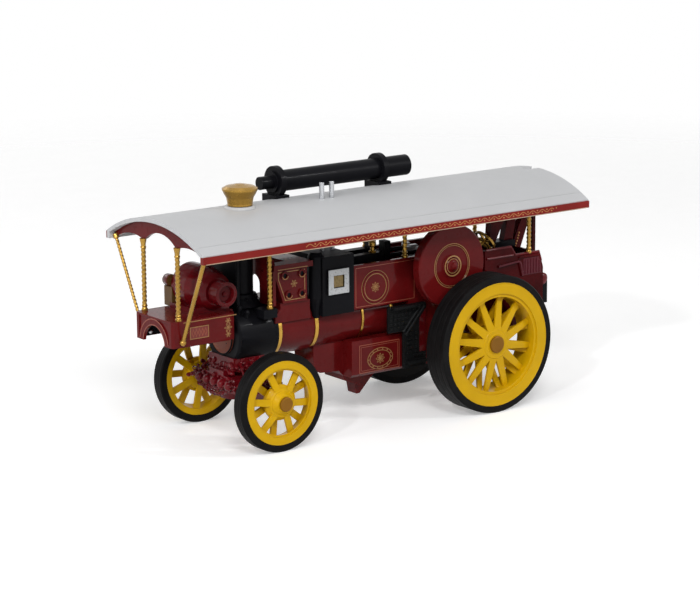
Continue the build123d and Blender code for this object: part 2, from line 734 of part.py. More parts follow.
def spoke(wheel, row, turn):
    """One flat tapered spoke, from inside the hub out into the rim."""
    hub_end, rim_end, half = wheel.hub * 0.6, wheel.hole_back + 0.5, spoke_thick / 2
    face = make_face(
        Polyline(
            (hub_end, row.hub_y - half, 0), (rim_end, row.rim_y - half, 0),
            (rim_end, row.rim_y + half, 0), (hub_end, row.hub_y + half, 0), close=True,
        )
    )
    wide = max(wheel.hub_width, wheel.rim_width)
    bar = Pos(0, 0, -wide / 2) * extrude(face, amount=wide, dir=(0, 0, 1))
    at_hub, at_rim = wheel.hub_width / 2, wheel.rim_width / 2
    taper = [(hub_end, -at_hub), (rim_end, -at_rim), (rim_end, at_rim), (hub_end, at_hub)]
    return Rot(0, -turn, 0) * (bar & side_plate(taper, (wheel.face - wheel.tread - 1, wheel.face + 1)))


for row in wheels:
    inner_y, outer_y = row.face - row.tread, row.face
    rim_radius = row.radius - tyre_depth
    parts[row.name + "_axle"] = bar_y(row.axle, row.x, (0.4 - row.cap_face, row.cap_face - 0.4), row.radius)
    rim = turned_y(
        [
            (inner_y, rim_radius), (outer_y, rim_radius), (outer_y, row.step), (outer_y - 0.3, row.step),
            (outer_y - 0.3, row.hole), (inner_y, row.hole_back),
        ],
        0,
        0,
    )
    disc_y = row.rows[0].hub_y + spoke_thick / 2
    cap_back = row.cap_face - 0.5
    hub = turned_y(
        [
            (inner_y - 0.4, row.axle), (inner_y - 0.4, row.boss), (inner_y + 0.1, row.boss),
            (inner_y + 0.1, row.hub), (disc_y - 0.3, row.hub), (disc_y, row.hub - 0.3), (disc_y, row.boss),
            (cap_back, row.boss), (cap_back, row.axle),
        ],
        0,
        0,
    )
    wheel = rim + hub
    for spokes in row.rows:
        for i in range(row.spokes):
            wheel += spoke(row, spokes, spokes.phase + i * 360 / row.spokes)
    wheel -= bar_y(row.axle, 0, (0, row.face + 1), 0)
    wheel = Pos(row.x, 0, row.radius) * wheel
    tyre = turned_y(
        [
            (inner_y, rim_radius), (inner_y, row.radius - 0.2), (inner_y + 0.2, row.radius),
            (outer_y - 0.2, row.radius), (outer_y, row.radius - 0.2), (outer_y, rim_radius),
        ],
        row.x,
        row.radius,
    )
    cap = turned_y(
        [
            (cap_back, row.boss), (row.cap_face - 0.1, row.boss), (row.cap_face, row.boss - 0.2),
            (row.cap_face, 0), (row.cap_face - 0.4, 0), (row.cap_face - 0.4, row.axle), (cap_back, row.axle),
        ],
        row.x,
        row.radius,
    )
    for side, make in (("left", lambda shape: shape), ("right", other_side)):
        parts[row.name + "_wheel_" + side] = make(wheel)
        parts[row.name + "_tyre_" + side] = make(tyre)
    parts[row.name + "_hub_caps"] = both_sides(cap)

os.makedirs("parts", exist_ok=True)
for name, shape in parts.items():
    export_step(shape, "parts/" + name + ".step")
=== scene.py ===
import json
import math
import random

import bpy
from mathutils import Matrix, Vector

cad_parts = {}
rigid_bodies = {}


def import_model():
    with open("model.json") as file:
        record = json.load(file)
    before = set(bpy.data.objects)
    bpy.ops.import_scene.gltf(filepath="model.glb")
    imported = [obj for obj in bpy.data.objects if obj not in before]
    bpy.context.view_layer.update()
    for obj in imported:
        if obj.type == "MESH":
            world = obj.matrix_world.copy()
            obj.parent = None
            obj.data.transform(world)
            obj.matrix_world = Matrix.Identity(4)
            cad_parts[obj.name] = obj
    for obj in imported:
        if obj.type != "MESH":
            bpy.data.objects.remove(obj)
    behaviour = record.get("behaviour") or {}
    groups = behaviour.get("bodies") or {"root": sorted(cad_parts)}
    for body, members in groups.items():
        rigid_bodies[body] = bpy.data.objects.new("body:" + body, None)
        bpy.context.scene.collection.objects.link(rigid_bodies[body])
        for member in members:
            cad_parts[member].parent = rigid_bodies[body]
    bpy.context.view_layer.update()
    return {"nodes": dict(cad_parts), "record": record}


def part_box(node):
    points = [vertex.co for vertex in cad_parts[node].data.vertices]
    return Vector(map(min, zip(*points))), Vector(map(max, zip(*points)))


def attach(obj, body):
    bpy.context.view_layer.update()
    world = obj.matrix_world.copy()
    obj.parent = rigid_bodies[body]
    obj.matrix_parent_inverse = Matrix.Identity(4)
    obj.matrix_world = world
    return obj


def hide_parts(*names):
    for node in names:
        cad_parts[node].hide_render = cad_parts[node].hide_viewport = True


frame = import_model()
nodes = frame["nodes"]

# Lengths of the engine's pieces are in millimetres; MM turns them into metres.
MM = 0.001
FORWARD = Vector((1, 0, 0))
LEFT = Vector((0, 1, 0))
UP = Vector((0, 0, 1))
AXES = {"x": FORWARD, "y": LEFT, "z": UP}

# Each side's name and its sign along Y
sides = (("left", 1), ("right", -1))

# Measures of the solids that trim and fittings lie on
boiler_height = 20.6
boiler_radius = 5.5
smokebox_radius = 5.9
tender_face = 9.2
tyre_depth = 1.5

# How far a piece laid on a face reaches into it
sunk = -0.05

chance = random.Random(7)

# Finishes


def new_material(name, color, roughness, metallic=0.0, coat=0.0, specular=0.4):
    """A material with its constants on the shader's own sockets."""
    material = bpy.data.materials.new(name)
    material.use_nodes = True
    shader = material.node_tree.nodes["Principled BSDF"]
    shader.inputs["Base Color"].default_value = (*color, 1)
    shader.inputs["Roughness"].default_value = roughness
    shader.inputs["Metallic"].default_value = metallic
    shader.inputs["Coat Weight"].default_value = coat
    shader.inputs["Coat Roughness"].default_value = 0.05
    shader.inputs["Coat IOR"].default_value = 1.3
    shader.inputs["Specular IOR Level"].default_value = specular
    return material


def noise(material, scale_per_mm, detail=3.0):
    """A noise value over the object's own coordinates."""
    tree = material.node_tree
    place = tree.nodes.new("ShaderNodeTexCoord")
    texture = tree.nodes.new("ShaderNodeTexNoise")
    texture.inputs["Scale"].default_value = scale_per_mm / MM
    texture.inputs["Detail"].default_value = detail
    texture.inputs["Roughness"].default_value = 0.55
    tree.links.new(place.outputs["Object"], texture.inputs["Vector"])
    return texture.outputs["Fac"]


def vary_color(material, value, low, high, start=0.35, end=0.65):
    """The base colour runs from low to high as a value rises."""
    tree = material.node_tree
    ramp = tree.nodes.new("ShaderNodeValToRGB")
    ramp.color_ramp.elements[0].position = start
    ramp.color_ramp.elements[0].color = (*low, 1)
    ramp.color_ramp.elements[1].position = end
    ramp.color_ramp.elements[1].color = (*high, 1)
    tree.links.new(value, ramp.inputs["Fac"])
    tree.links.new(ramp.outputs["Color"], tree.nodes["Principled BSDF"].inputs["Base Color"])


def vary_roughness(material, value, low, high):
    """The roughness runs from low to high as a value rises."""
    tree = material.node_tree
    span = tree.nodes.new("ShaderNodeMapRange")
    span.inputs["To Min"].default_value = low
    span.inputs["To Max"].default_value = high
    tree.links.new(value, span.inputs["Value"])
    tree.links.new(span.outputs["Result"], tree.nodes["Principled BSDF"].inputs["Roughness"])


def surface(material, value, depth_mm, edge_mm):
    """A fine bump over softly rounded edges."""
    tree = material.node_tree
    bump = tree.nodes.new("ShaderNodeBump")
    bump.inputs["Distance"].default_value = depth_mm * MM
    tree.links.new(value, bump.inputs["Height"])
    if edge_mm:
        edge = tree.nodes.new("ShaderNodeBevel")
        edge.samples = 4
        edge.inputs["Radius"].default_value = edge_mm * MM
        tree.links.new(edge.outputs["Normal"], bump.inputs["Normal"])
    tree.links.new(bump.outputs["Normal"], tree.nodes["Principled BSDF"].inputs["Normal"])


def shade(color, factor):
    """A colour made lighter or darker."""
    return tuple(c * factor for c in color)


def coated(name, color, roughness, spread=0.12, coat=0.5, metallic=0.0, bump_mm=0.01, edge_mm=0.12,
           specular=0.4):
    """Paint or plastic with a little drift of tone and a fine orange-peel surface."""
    material = new_material(name, color, roughness, metallic, coat, specular)
    vary_color(material, noise(material, 0.12), shade(color, 1 - spread), shade(color, 1 + spread))
    vary_roughness(material, noise(material, 0.6), roughness * 0.8, roughness * 1.25)
    surface(material, noise(material, 2.2), bump_mm, edge_mm)
    return material


def line_paint(name, color, roughness, metallic=0.0):
    """Matt paint for fine lines, with no rounded edges."""
    return coated(name, color, roughness, coat=0.0, metallic=metallic, bump_mm=0.003, edge_mm=0)


def printed(name, ground, ink, scale_per_mm, share):
    """A painted ground with fine speckles of ink, as a small printed ornament looks from a step away."""
    material = new_material(name, ground, 0.35, coat=0.2)
    vary_color(material, noise(material, scale_per_mm, detail=1.0), ground, ink, share, share + 0.06)
    surface(material, noise(material, 2.2), 0.005, 0)
    return material


def tyre(name, inner, outer):
    """Black moulding with grooves round its tread, set by the distance from the middle plane."""
    material = new_material(name, (0.0060, 0.0056, 0.0058), 0.5, specular=0.05)
    tree = material.node_tree
    vary_color(material, noise(material, 0.3), (0.0050, 0.0047, 0.0049), (0.0080, 0.0075, 0.0076))
    place = tree.nodes.new("ShaderNodeTexCoord")
    parts = tree.nodes.new("ShaderNodeSeparateXYZ")
    away = tree.nodes.new("ShaderNodeMath")
    away.operation = "ABSOLUTE"
    across = tree.nodes.new("ShaderNodeMapRange")
    across.inputs["From Min"].default_value = inner * MM
    across.inputs["From Max"].default_value = outer * MM
    tread = tree.nodes.new("ShaderNodeValToRGB")
    tree.links.new(place.outputs["Object"], parts.inputs["Vector"])
    tree.links.new(parts.outputs["Y"], away.inputs[0])
    tree.links.new(away.outputs["Value"], across.inputs["Value"])
    tree.links.new(across.outputs["Result"], tread.inputs["Fac"])
    marks = tread.color_ramp.elements
    marks[0].position, marks[1].position = 0.0, 1.0
    marks[0].color = marks[1].color = (1, 1, 1, 1)
    for groove in (0.2, 0.5, 0.78):
        for offset, height in ((-0.035, 1), (-0.015, 0), (0.015, 0), (0.035, 1)):
            marks.new(groove + offset).color = (height, height, height, 1)
    surface(material, tread.outputs["Color"], 0.12, 0.15)
    return material


finishes = {
    "maroon_paint": coated("maroon_paint", (0.101, 0.0045, 0.0050), 0.28, coat=0.4, bump_mm=0.008,
                           specular=0.03),
    "dynamo_red": coated("dynamo_red", (0.096, 0.0026, 0.0046), 0.16, spread=0.3, bump_mm=0.07,
                         edge_mm=0.15, specular=0.05),
    # The tender's red is darker partly as its own deeper paint and partly as painted shade under the canopy;
    # the crane shares it.
    "tender_red_and_painted_shade": coated("tender_red_and_painted_shade", (0.056, 0.0013, 0.0022), 0.25, spread=0.5, coat=0.2, bump_mm=0.05,
                         edge_mm=0.2, specular=0.02),
    "dark_red": coated("dark_red", (0.065, 0.0015, 0.0030), 0.3, coat=0.3, specular=0.03),
    "mauve_bead": coated("mauve_bead", (0.090, 0.011, 0.018), 0.35, coat=0.2, specular=0.1),
    "crimson": coated("crimson", (0.104, 0.003, 0.006), 0.16, spread=0.35, coat=0.6, bump_mm=0.08,
                      edge_mm=0.15, specular=0.05),
    "black_paint": coated("black_paint", (0.0048, 0.0048, 0.0062), 0.38, coat=0.03, bump_mm=0.006,
                          specular=0.05),
    "black_tread": coated("black_tread", (0.0048, 0.0052, 0.0056), 0.45, coat=0.0, bump_mm=0.16,
                          edge_mm=0.15, specular=0.12),
    "brass": coated("brass", (0.36, 0.205, 0.036), 0.26, coat=0.0, metallic=0.7, bump_mm=0.006,
                    edge_mm=0.06),
    "band_brass": coated("band_brass", (0.48, 0.28, 0.055), 0.22, coat=0.0, metallic=1.0, bump_mm=0.004),
    "roof_white": coated("roof_white", (0.50, 0.505, 0.515), 0.42, spread=0.015, coat=0.0, bump_mm=0.003,
                         specular=0.12),
    "fascia_red": coated("fascia_red", (0.185, 0.011, 0.0085), 0.35, coat=0.1, specular=0.1),
    "steel": coated("steel", (0.42, 0.42, 0.43), 0.3, coat=0.0, metallic=1.0),
    "silver": coated("silver", (0.50, 0.51, 0.53), 0.25, coat=0.0, metallic=0.9),
    "wheel_yellow": coated("wheel_yellow", (0.56, 0.325, 0.0015), 0.36, spread=0.05, coat=0.1,
                           specular=0.1),
    "tyre_black": coated("tyre_black", (0.0095, 0.0088, 0.0085), 0.55, coat=0.0, bump_mm=0.03,
                         specular=0.08),
    "copper_brown": coated("copper_brown", (0.20, 0.085, 0.005), 0.42, coat=0.0, metallic=0.3,
                           specular=0.2),
    "umber": coated("umber", (0.105, 0.052, 0.013), 0.35, coat=0.1, specular=0.15),
    "door_brown": coated("door_brown", (0.19, 0.05, 0.028), 0.4, coat=0.1, specular=0.15),
    "gold_line": line_paint("gold_line", (0.30, 0.155, 0.055), 0.42, metallic=0.35),
    "gilt": line_paint("gilt", (0.42, 0.18, 0.05), 0.45, metallic=0.2),
    "orange_line": line_paint("orange_line", (0.24, 0.055, 0.028), 0.4),
    "pale_bead": line_paint("pale_bead", (0.42, 0.30, 0.20), 0.4),
    "pale_square": printed("pale_square", (0.42, 0.43, 0.44), (0.24, 0.24, 0.25), 4.0, 0.60),
    "gold_square": printed("gold_square", (0.19, 0.125, 0.032), (0.14, 0.09, 0.02), 2.6, 0.5),
    "orange_plate": coated("orange_plate", (0.15, 0.018, 0.012), 0.45, coat=0.05, edge_mm=0),
    "front_tyre": tyre("front_tyre", 12.7, 15.3),
    "rear_tyre": tyre("rear_tyre", 12.4, 18.0),
}

for entry in frame["record"]["subparts"]:
    node = nodes[entry["node"]]
    node.data.materials.clear()
    node.data.materials.append(finishes[entry["material_slot"]])

# Solids with a finish of their own in place of their slot's
own_finishes = {
    "fore_carriage": "crimson", "smokebox_door": "door_brown", "dynamo_brush_gear": "umber",
    "dynamo": "dynamo_red", "dynamo_pulley": "dynamo_red", "tender": "tender_red_and_painted_shade", "crane": "tender_red_and_painted_shade",
    "boiler_bands": "band_brass", "step_left": "black_tread", "step_right": "black_tread",
    "front_tyre_left": "front_tyre", "front_tyre_right": "front_tyre",
    "rear_tyre_left": "rear_tyre", "rear_tyre_right": "rear_tyre",
}
for node, finish in own_finishes.items():
    nodes[node].data.materials[0] = finishes[finish]

# Mesh helpers


def corners(node):
    """Lowest and highest corner of a CAD node, in millimetres."""
    low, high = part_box(node)
    return low / MM, high / MM


def smooth_by_angle(mesh):
    """Smooth shading, with edges sharper than 35 degrees kept."""
    mesh.shade_smooth()
    mesh.set_sharp_from_angle(angle=math.radians(35))


def turns(count, shift=0.0):
    """Evenly spaced angles round a circle."""
    return [2 * math.pi * (k + shift) / count for k in range(count)]


def with_neighbours(path, closed):
    """Each point of a path with its neighbours; an open end is its own neighbour."""
    last = len(path) - 1
    for i, point in enumerate(path):
        before = path[i - 1] if i or closed else point
        after = path[(i + 1) % len(path)] if i < last or closed else point
        yield before, point, after


class Shape:
    """Gathers the forms of one piece, in millimetres."""

    def __init__(self):
        self.verts = []
        self.faces = []

    def skin(self, loops, closed=False):
        """A surface over loops of points with equal counts, capped unless it closes on itself."""
        base = len(self.verts)
        count = len(loops[0])
        spans = len(loops) if closed else len(loops) - 1
        faces = []
        for i in range(spans):
            here, there = i * count, (i + 1) % len(loops) * count
            for j in range(count):
                k = (j + 1) % count
                faces.append((here + j, here + k, there + k, there + j))
        if not closed:
            faces.append(tuple(reversed(range(count))))
            faces.append(tuple(range((len(loops) - 1) * count, len(loops) * count)))
        self.verts += [Vector(v) for loop in loops for v in loop]
        self.faces += [tuple(base + i for i in face) for face in faces]

    def sweep(self, path, radius, flats=8, closed=False):
        """A round wire along a path."""
        path = [Vector(p) for p in path]
        loops = []
        side = None
        for before, point, after in with_neighbours(path, closed):
            along = (after - before).normalized()
            side = along.orthogonal() if side is None else side - along * side.dot(along)
            side.normalize()
            up = along.cross(side)
            loops.append([point + (side * math.cos(t) + up * math.sin(t)) * radius for t in turns(flats)])
        self.skin(loops, closed)

    def ribbon(self, path, normal, width, lift=0.03, closed=False):
        """A flat strip that follows a path on a surface with that normal, mitred at its corners."""
        path = [Vector(p) for p in path]
        normal = Vector(normal)
        loops = []
        for before, point, after in with_neighbours(path, closed):
            one, two = (point - before).normalized(), (after - point).normalized()
            along = (one + two).normalized() if one.length and two.length else one + two
            stretch = 1 / max(0.4, along.dot(two if two.length else one))
            side = along.cross(normal).normalized() * width / 2 * stretch
            loops.append([point - side - normal * lift, point + side - normal * lift,
                          point + side + normal * lift, point - side + normal * lift])
        self.skin(loops, closed)

    def lathe(self, profile, origin, axis, flats=24):
        """A turned form, from (along, radius) points on an axis."""
        origin, axis = Vector(origin), Vector(axis).normalized()
        side = axis.orthogonal().normalized()
        up = axis.cross(side)
        loops = []
        for along, radius in profile:
            centre = origin + axis * along
            loops.append([centre + (side * math.cos(t) + up * math.sin(t)) * radius for t in turns(flats)])
        self.skin(loops)

    def twisted(self, foot, head, radius, pitch=1.7):
        """A column of three twisted strands between two points."""
        strands, depth, flats = 3, 0.2, 12
        foot, head = Vector(foot), Vector(head)
        axis = (head - foot).normalized()
        side = axis.orthogonal().normalized()
        up = axis.cross(side)
        length = (head - foot).length
        count = max(2, int(length / pitch * 8))
        loops = []
        for i in range(count + 1):
            along = length * i / count
            loop = []
            for turn in turns(flats):
                reach = radius * (1 + depth * math.cos(strands * turn - 4 * math.pi * along / pitch))
                loop.append(foot + axis * along + (side * math.cos(turn) + up * math.sin(turn)) * reach)
            loops.append(loop)
        self.skin(loops)

    def dome(self, centre, axis, radius, height, flats=10):
        """A low round head, such as a rivet."""
        steps = [(height * math.sin(a), radius * math.cos(a)) for a in (0, 0.5, 1.0, 1.35)]
        self.lathe([(-0.1, radius)] + steps, centre, axis, flats)

    def slab(self, outline, across, low, high):
        """A plate with an outline, between two heights along a direction."""
        across = Vector(across)
        outline = [Vector(p) for p in outline]
        self.skin([[p + across * low for p in outline], [p + across * high for p in outline]])

    def place(self, name, finish, body="engine", smooth=True):
        """Makes the piece, gives it its finish and sets it riding."""
        mesh = bpy.data.meshes.new(name)
        mesh.from_pydata([v * MM for v in self.verts], [], self.faces)
        mesh.materials.append(finishes[finish])
        if smooth:
            smooth_by_angle(mesh)
        piece = bpy.data.objects.new(name, mesh)
        bpy.context.scene.collection.objects.link(piece)
        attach(piece, body)


def arc(centre, radius, start, end, steps, plane="xz"):
    """Points round a circle; angles in degrees, from the plane's first axis to its second."""
    first, second = AXES[plane[0]], AXES[plane[1]]
    points = []
    for i in range(steps + 1):
        turn = math.radians(start + (end - start) * i / steps)
        points.append(Vector(centre) + (first * math.cos(turn) + second * math.sin(turn)) * radius)
    return points


def ring(centre, radius, steps=40, plane="xz"):
    """Points of a whole circle."""
    return arc(centre, radius, 0, 360, steps, plane)[:-1]


def oval(centre, half_x, half_z, steps):
    """Points of an upright oval on a side face."""
    return [Vector(centre) + Vector((half_x * math.cos(t), 0, half_z * math.sin(t))) for t in turns(steps)]


# The canopy: creases in the roof, the fascia's ends and ornament, twisted posts and the far stay

roof_low, roof_high = corners("canopy_roof")
roof_side = 40.5
roof_rise = roof_high.z - roof_side
roof_radius = (roof_high.y**2 + roof_rise**2) / (2 * roof_rise)
roof_centre = roof_high.z - roof_radius
fascia_low, fascia_high = corners("canopy_fascia_left")


def roof_creases():
    """A faint moulded line along each side of the roof."""
    creases = Shape()
    for side in (-1, 1):
        y = 14.4 * side
        rise = math.sqrt(roof_radius**2 - y**2)
        path = [(x, y, roof_centre + rise) for x in (roof_low.x + 0.4, roof_high.x - 0.4)]
        creases.ribbon(path, Vector((0, y, rise)).normalized(), 0.16, 0.025)
    creases.place("roof_creases", "roof_white", smooth=False)


def fascia_ornament():
    """A running wave with a dot in each hollow, and a pale bead along the lower edge."""
    middle = (fascia_low.z + fascia_high.z) / 2 + 0.05
    front, rear = 24.0, -37.5
    pitch, swing = 2.5, 0.3
    waves = (front - rear) / pitch
    steps = int(waves * 10)
    places = [front - (front - rear) * k / steps for k in range(steps + 1)]
    for name, side in sides:
        face = fascia_high.y * side
        wave = Shape()
        curve = [(x, face, middle + swing * math.sin(2 * math.pi * x / pitch)) for x in places]
        wave.ribbon(curve, LEFT * side, 0.11, 0.035)
        for k in range(int(waves * 2)):
            x = (math.floor(front / pitch) - 0.25 - k / 2) * pitch
            z = middle - 0.2 * math.sin(2 * math.pi * x / pitch)
            wave.dome((x, face, z), LEFT * side, 0.17, 0.06, 6)
        wave.place("fascia_" + name + "_wave", "gilt", smooth=False)
        bead = Shape()
        ends = (fascia_low.x + 0.05, fascia_high.x - 0.05)
        bead.sweep([(x, face - 0.02 * side, fascia_low.z + 0.02) for x in ends], 0.085, 6)
        bead.place("fascia_" + name + "_bead", "pale_bead")


def fascia_ends():
    """The fascia carried on to both ends of the roof's skirt, with a thin return at its left front."""
    inner, outer, bottom, top = 16.7, 17.0, 38.9, 40.3
    for name, side in sides:
        ends = Shape()
        for x0, x1 in ((fascia_high.x, roof_high.x), (roof_low.x, fascia_low.x)):
            section = ((inner, top), (outer, top), (outer, bottom), (inner, bottom))
            ends.slab([(x0, y * side, z) for y, z in section], FORWARD, 0, x1 - x0)
        if side > 0:
            section = ((15.9, bottom), (15.9, 40.2), (outer, top), (outer, bottom))
            ends.slab([(roof_high.x, y, z) for y, z in section], FORWARD, 0, 0.03)
        ends.place("fascia_" + name + "_ends", "fascia_red", smooth=False)


def canopy_posts(row):
    """Both posts of a row: a turned foot, a twisted shaft and a head that flares into the beam."""
    low, high = corners(row)
    x = (low.x + high.x) / 2
    reach = (high.x - low.x) / 2
    radius = 0.42
    foot_form = [(0, 0.62), (0.35, 0.64), (0.5, 0.5), (0.75, 0.46), (0.95, 0.6), (1.15, 0.46),
                 (1.3, radius)]
    head_form = [(0, reach), (0.5, 0.6), (1.0, 0.5), (1.45, 0.46), (1.6, 0.56), (1.8, 0.56),
                 (2.0, radius * 0.9)]
    pair = Shape()
    for side in (-1, 1):
        y = (high.y - reach) * side
        foot, head = Vector((x, y, low.z)), Vector((x, y, high.z))
        pair.lathe(foot_form, foot, UP)
        pair.twisted(foot + UP * 1.2, head - UP * 1.9, radius)
        pair.lathe(head_form, head, -UP)
    pair.place("twisted_" + row, "brass")
    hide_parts(row)


def far_stay():
    """The right-hand stay is a thinner twisted rod with an eye at each end."""
    foot, head = Vector((45.4, -7.0, 22.3)), Vector((45.75, -15.45, 39.3))
    rod = Shape()
    rod.twisted(foot, head, 0.3, pitch=1.5)
    for end in (foot, head):
        rod.lathe([(-0.55, 0.3), (-0.4, 0.58), (0.4, 0.58), (0.55, 0.3)], end, head - foot)
    rod.place("twisted_stay_right", "brass")
    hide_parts("canopy_stay_right")


# Lining and ornament on the painted sides


def framed(shape, face, x_limits, z_limits, width, side):
    """A lined rectangle with barely hollowed corners, on a side face."""
    (x0, x1), (z0, z1) = x_limits, z_limits
    path = []
    for x, z, start in ((x1, z1, 180), (x0, z1, 270), (x0, z0, 0), (x1, z0, 90)):
        path += reversed(arc((x, face, z), 0.05, start, start + 90, 5))
    shape.ribbon(path, LEFT * side, width, closed=True)


def rosette(shape, centre, radius, side=1, petals=8):
    """A generic flower: looped petals round a boss."""
    centre = Vector(centre)
    for turn in turns(petals):
        x, z = math.cos(turn), math.sin(turn)
        middle = centre + Vector((x, 0, z)) * radius * 0.62
        spots = [(radius * 0.36 * math.cos(t), radius * 0.15 * math.sin(t)) for t in turns(8)]
        petal = [middle + Vector((x * along - z * across, 0, z * along + x * across))
                 for along, across in spots]
        shape.ribbon(petal, LEFT * side, radius * 0.07 + 0.03, 0.035, closed=True)
    shape.dome(centre, LEFT * side, radius * 0.22, 0.12)


def belly_tank_ornament():
    """A lined panel and an oval wreath on each side of the tank."""
    low, high = corners("belly_tank")
    for name, side in sides:
        face = high.y * side
        border = Shape()
        for inset, width in ((0, 0.16), (0.4, 0.09)):
            x_limits = (low.x + 1.35 + inset, 3.5 - inset)
            framed(border, face, x_limits, (9.7 + inset, 15.3 - inset), width, side)
        border.place("tank_border_" + name, "orange_line", smooth=False)
        lines = Shape()
        centre = (-1.6, face, 12.1)
        for half_x, half_z in ((3.1, 2.15), (2.55, 1.65)):
            lines.ribbon(oval(centre, half_x, half_z, 40), LEFT * side, 0.15, closed=True)
        for spot in oval(centre, 2.82, 1.9, 14):
            lines.dome(spot, LEFT * side, 0.14, 0.07, 6)
        rosette(lines, centre, 1.05, side)
        lines.place("tank_lining_" + name, "gold_line", smooth=False)


def hornplate_lining():
    """Lined panels on both hornplates, with two rings and a rosette ahead of the crankshaft."""
    plate = corners("hornplate_left")[1].y - 0.15
    ring_x, ring_z = 0.3, 27.0
    for name, side in sides:
        border = Shape()
        framed(border, plate * side, (-9.4, 5.1), (23.5, 31.3), 0.14, side)
        border.place("hornplate_border_" + name, "orange_line", smooth=False)
        lines = Shape()
        for radius, width, raised in ((3.35, 0.1, 0), (2.7, 0.16, 0.03)):
            centre = (ring_x, (plate + raised) * side, ring_z)
            lines.ribbon(ring(centre, radius), LEFT * side, width, closed=True)
        rosette(lines, (ring_x, plate * side, ring_z), 1.0, side)
        lines.place("hornplate_lining_" + name, "gold_line", smooth=False)


def chest_lining():
    """Gold lines inside the edges of the steam chest, gold crescents on the lower side of its bosses as
    painted highlights, black discs in the bosses as painted shade, and a small flower.
    """
    face, boss_face, cornice_face = 6.3, 6.6, 6.8
    outline = [(16.75, 27.0), (21.35, 27.0), (22.95, 31.3), (22.95, 32.6), (16.75, 32.6)]
    bosses = ((21.5, 31.9), (17.5, 31.9), (20.6, 28.0), (17.5, 28.0))
    lines = Shape()
    lines.ribbon([(x, face, z) for x, z in outline], LEFT, 0.14, closed=True)
    # Gold crescents on the bosses' lower sides: painted highlights.
    for x, z in bosses:
        lines.ribbon(arc((x, boss_face, z), 0.68, 190, 350, 12), LEFT, 0.14)
    rosette(lines, (19.3, face, 30.1), 0.75, petals=6)
    lines.ribbon([(16.4, cornice_face, 33.25), (23.4, cornice_face, 33.25)], LEFT, 0.12)
    lines.place("chest_lining", "gold_line", smooth=False)
    # Black discs in the bosses: painted shade in their holes.
    bores_painted_shade = Shape()
    for x, z in bosses:
        bores_painted_shade.lathe([(-0.2, 0.46), (0.0, 0.46)], (x, face + 0.05, z), LEFT, 16)
    bores_painted_shade.place("chest_bores_painted_shade", "black_paint")


def platform_ornament():
    """A line, rosettes and a blank plate of lozenges on each side, and lines round the front's arch."""
    front, half = corners("dynamo_platform")[1].xy
    for name, side in sides:
        face = half * side
        lines = Shape()
        lines.ribbon([(33.0, face, 25.95), (45.0, face, 25.95)], LEFT * side, 0.15)
        for z, size in ((25.0, 0.6), (23.7, 0.85), (22.4, 0.6)):
            rosette(lines, (34.9, face, z), size, side, petals=6)
        lines.place("platform_lining_" + name, "gold_line", smooth=False)
        plate = Shape()
        outline = [(39.4, face, 22.6), (43.5, face, 22.6), (43.5, face, 24.8), (39.4, face, 24.8)]
        plate.slab(outline if side < 0 else outline[::-1], LEFT * side, sunk, 0.05)
        plate.place("platform_panel_" + name, "orange_plate", smooth=False)
        lozenges = Shape()
        for k in range(5):
            x, z = 40.05 + 0.7 * k, 23.7
            spot = [(x, z - 0.72), (x + 0.26, z), (x, z + 0.72), (x - 0.26, z)]
            lozenges.ribbon([(p, face + 0.05 * side, q) for p, q in spot], LEFT * side, 0.15, closed=True)
        lozenges.place("platform_lozenges_" + name, "orange_line", smooth=False)
        edge = Shape()
        edge.ribbon([(x, y + 0.03 * side, z) for x, y, z in outline], LEFT * side, 0.14, 0.04, closed=True)
        edge.place("platform_panel_edge_" + name, "gold_line", smooth=False)
    arch = Shape()
    for radius in (3.85, 4.95):
        arch.ribbon(arc((front, 0, 20.9), radius, 8, 172, 30, "yz"), FORWARD, 0.18)
    arch.place("platform_arch_lining", "orange_line", smooth=False)


def flywheel_lining():
    """Gold rings round the boss and at the rim, on the wheel's outer face, and a turned cap."""
    low, high = corners("flywheel")
    x, z = (low.x + high.x) / 2, (low.z + high.z) / 2
    web_face = 11.4
    rings = Shape()
    for radius, width, face in ((4.45, 0.14, web_face), (4.1, 0.09, web_face), (2.0, 0.26, high.y),
                                (1.45, 0.12, high.y)):
        rings.ribbon(ring((x, face, z), radius, 56), LEFT, width, closed=True)
    rings.place("flywheel_lining", "gold_line", smooth=False)
    cap = Shape()
    cap.lathe([(-0.4, 1.2), (0.05, 1.2), (0.2, 1.0), (0.25, 0.8), (0.55, 0.7), (0.7, 0.45), (0.75, 0.05)],
              (x, high.y, z), LEFT, 28)
    cap.place("flywheel_cap", "maroon_paint")


def tender_mouldings():
    """A pale bead over the side, a ribbed panel at the rear corner and round rails along the top."""
    bead_path = [(-29.5, 27.6), (-34.6, 28.05), (-35.1, 27.9), (-35.45, 27.2), (-35.85, 24.9)]
    panel = [(-36.2, 24.9), (-36.2, 28.4), (-40.3, 28.4), (-41.0, 26.2), (-41.0, 24.9)]
    rail_path = [(-26.4, 31.2), (-33.0, 31.2), (-34.2, 29.35), (-40.5, 29.35), (-41.1, 27.4)]
    rib_width, rib_bottom, rib_top = 0.32, 25.1, 28.2
    for name, side in sides:
        wall = tender_face * side
        bead = Shape()
        bead.ribbon([(x, wall + 0.3 * side, z) for x, z in bead_path], LEFT * side, 0.36, 0.05)
        bead.slab([(x, wall, z) for x, z in panel], LEFT * side, sunk, 0.06)
        for k in range(6):
            x = -36.6 - 0.75 * k
            top = min(rib_top, rib_top - 1.4 * (-39.9 - x))
            rib = [(x, rib_bottom), (x, top), (x - rib_width, top), (x - rib_width, rib_bottom)]
            bead.slab([(p, wall, q) for p, q in rib], LEFT * side, 0, 0.22)
        bead.place("tender_bead_" + name, "mauve_bead", smooth=False)
        rail = Shape()
        rail.sweep([(x, wall - 0.25 * side, z) for x, z in rail_path], 0.3)
        rail.sweep([(-26.4, wall, 29.5), (-33.4, wall, 29.5)], 0.26)
        rail.place("tender_rail_" + name, "crimson")


